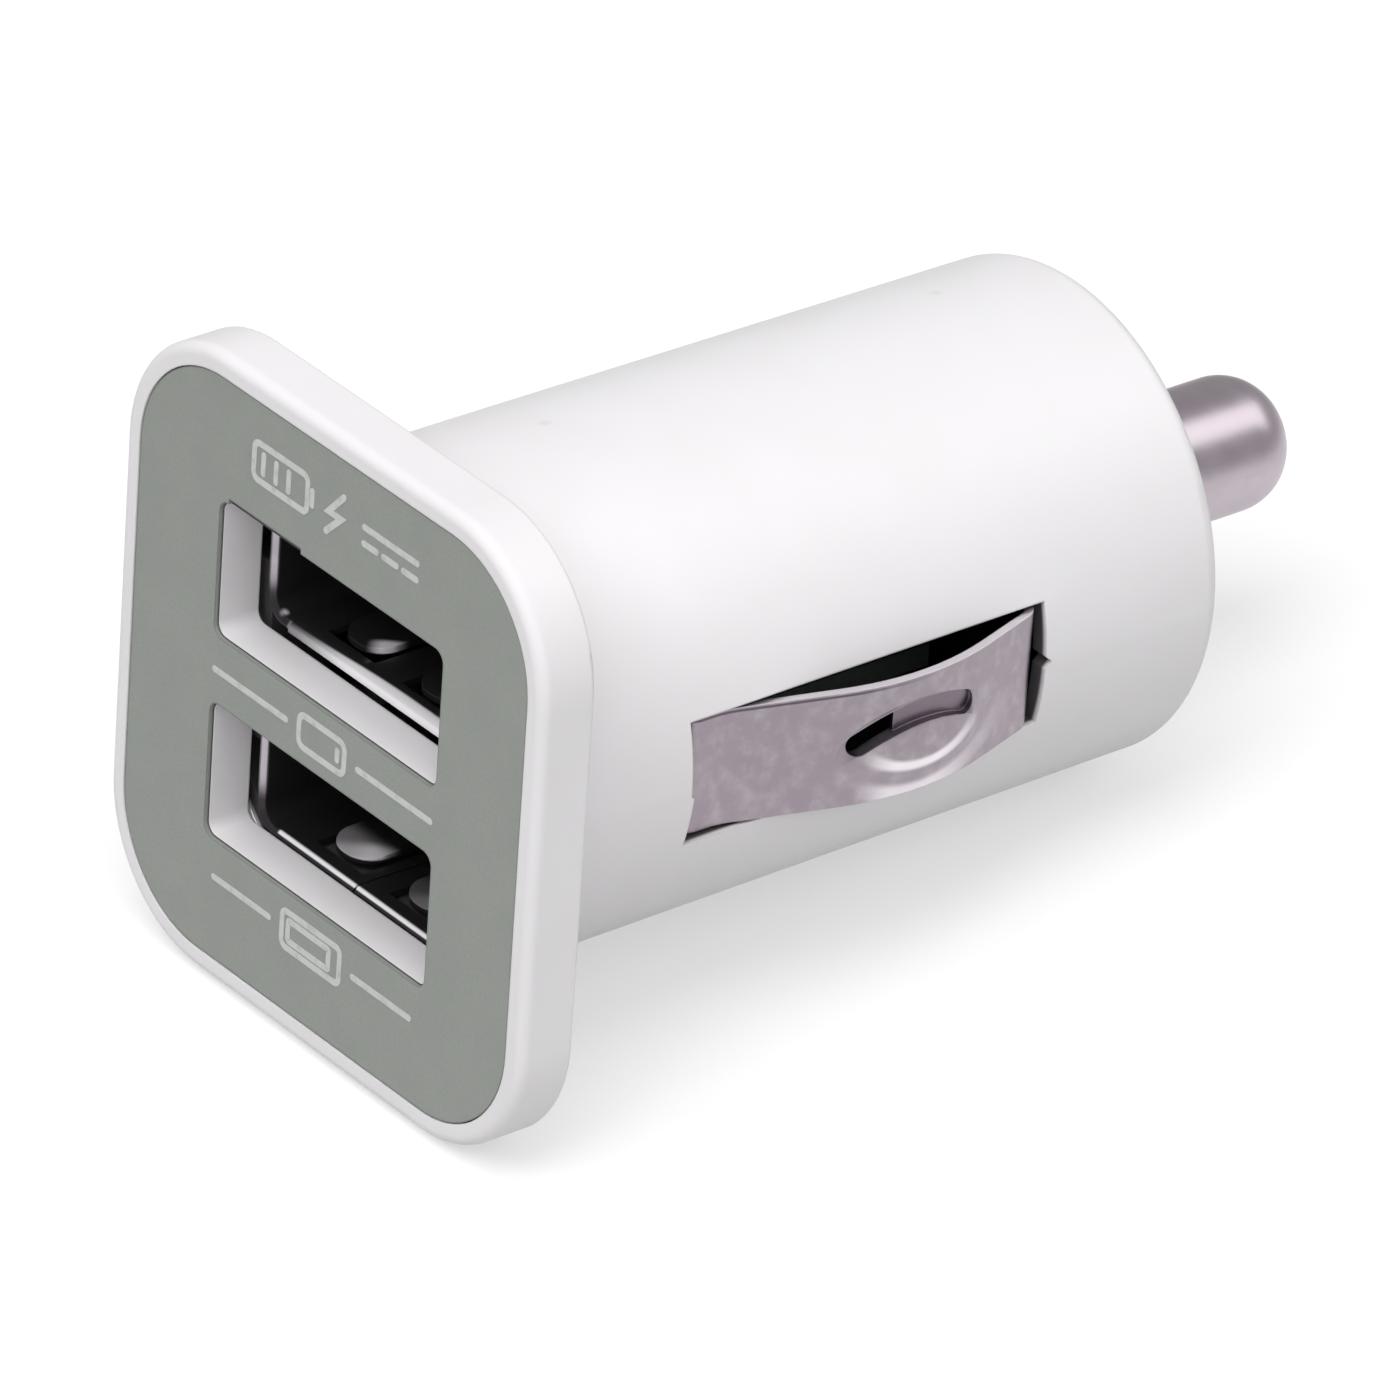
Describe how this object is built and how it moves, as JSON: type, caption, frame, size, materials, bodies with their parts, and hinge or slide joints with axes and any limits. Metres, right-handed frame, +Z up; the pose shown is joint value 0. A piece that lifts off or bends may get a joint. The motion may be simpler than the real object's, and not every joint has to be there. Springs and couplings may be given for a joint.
{
  "type": "car usb charger plug",
  "caption": "White plug that fits a vehicle power socket and charges devices through stacked USB ports in its rounded square face, with sprung side contacts and a sprung centre tip.",
  "frame": {"origin": "centre of the flange's back face on the barrel's axis, where the plug stops against its socket", "axes": "+Y along the barrel from the flange to the tip, +Z up with the ports stacked one above the other and their tongues in the upper half, +X to the right seen from the front"},
  "size_m": [0.0264, 0.0476, 0.0272],
  "materials": {
    "white_plastic": "gloss",
    "grey_panel": "satin",
    "contact_nickel": "satin",
    "tip_nickel": "satin",
    "spring_steel": "satin",
    "tin_plate": "satin",
    "socket_steel": "satin",
    "socket_black": "matte",
    "pin_gold": "satin",
    "circuit_board": "satin",
    "ferrite": "matte",
    "copper_wire": "satin",
    "capacitor_can": "satin",
    "chip_black": "matte",
    "chip_tan": "satin"
  },
  "bodies": {
    "housing": {"front_bezel": "white_plastic", "face_panel": "grey_panel", "barrel_shell": "white_plastic", "tip_spring": "spring_steel", "tip_terminal": "tin_plate", "port_board": "circuit_board", "main_board": "circuit_board", "choke_core": "ferrite", "choke_winding": "copper_wire", "input_capacitor": "capacitor_can", "output_capacitor": "capacitor_can", "converter_chip": "chip_black", "converter_leads": "tin_plate", "rectifier_diode": "chip_black", "chip_resistors": "chip_black", "chip_capacitors": "chip_tan", "upper_socket_shell": "socket_steel", "upper_socket_tongue": "socket_black", "upper_socket_pins": "pin_gold", "lower_socket_shell": "socket_steel", "lower_socket_tongue": "socket_black", "lower_socket_pins": "pin_gold"},
    "tip": {"tip_contact": "tip_nickel"},
    "right_contact": {"side_contact_right": "contact_nickel"},
    "left_contact": {"side_contact_left": "contact_nickel"}
  },
  "joints": [
    {"name": "tip_press", "type": "slide", "parent": "housing", "child": "tip", "axis": [0, -1, 0], "range_m": [0, 0.003], "stiffness_N_per_m": 1500, "springref_m": -0.002, "deforming": ["tip_spring"]},
    {"name": "right_contact_press", "type": "hinge", "parent": "housing", "child": "right_contact", "pos_m": [0.0091, 0.00827, 0], "axis": [0, 0, 1], "range_deg": [0, 12], "stiffness_Nm_per_rad": 0.3, "springref_deg": -2.86},
    {"name": "left_contact_press", "type": "hinge", "parent": "housing", "child": "left_contact", "pos_m": [-0.0091, 0.00827, 0], "axis": [0, 0, -1], "range_deg": [0, 12], "stiffness_Nm_per_rad": 0.3, "springref_deg": -2.86}
  ]
}
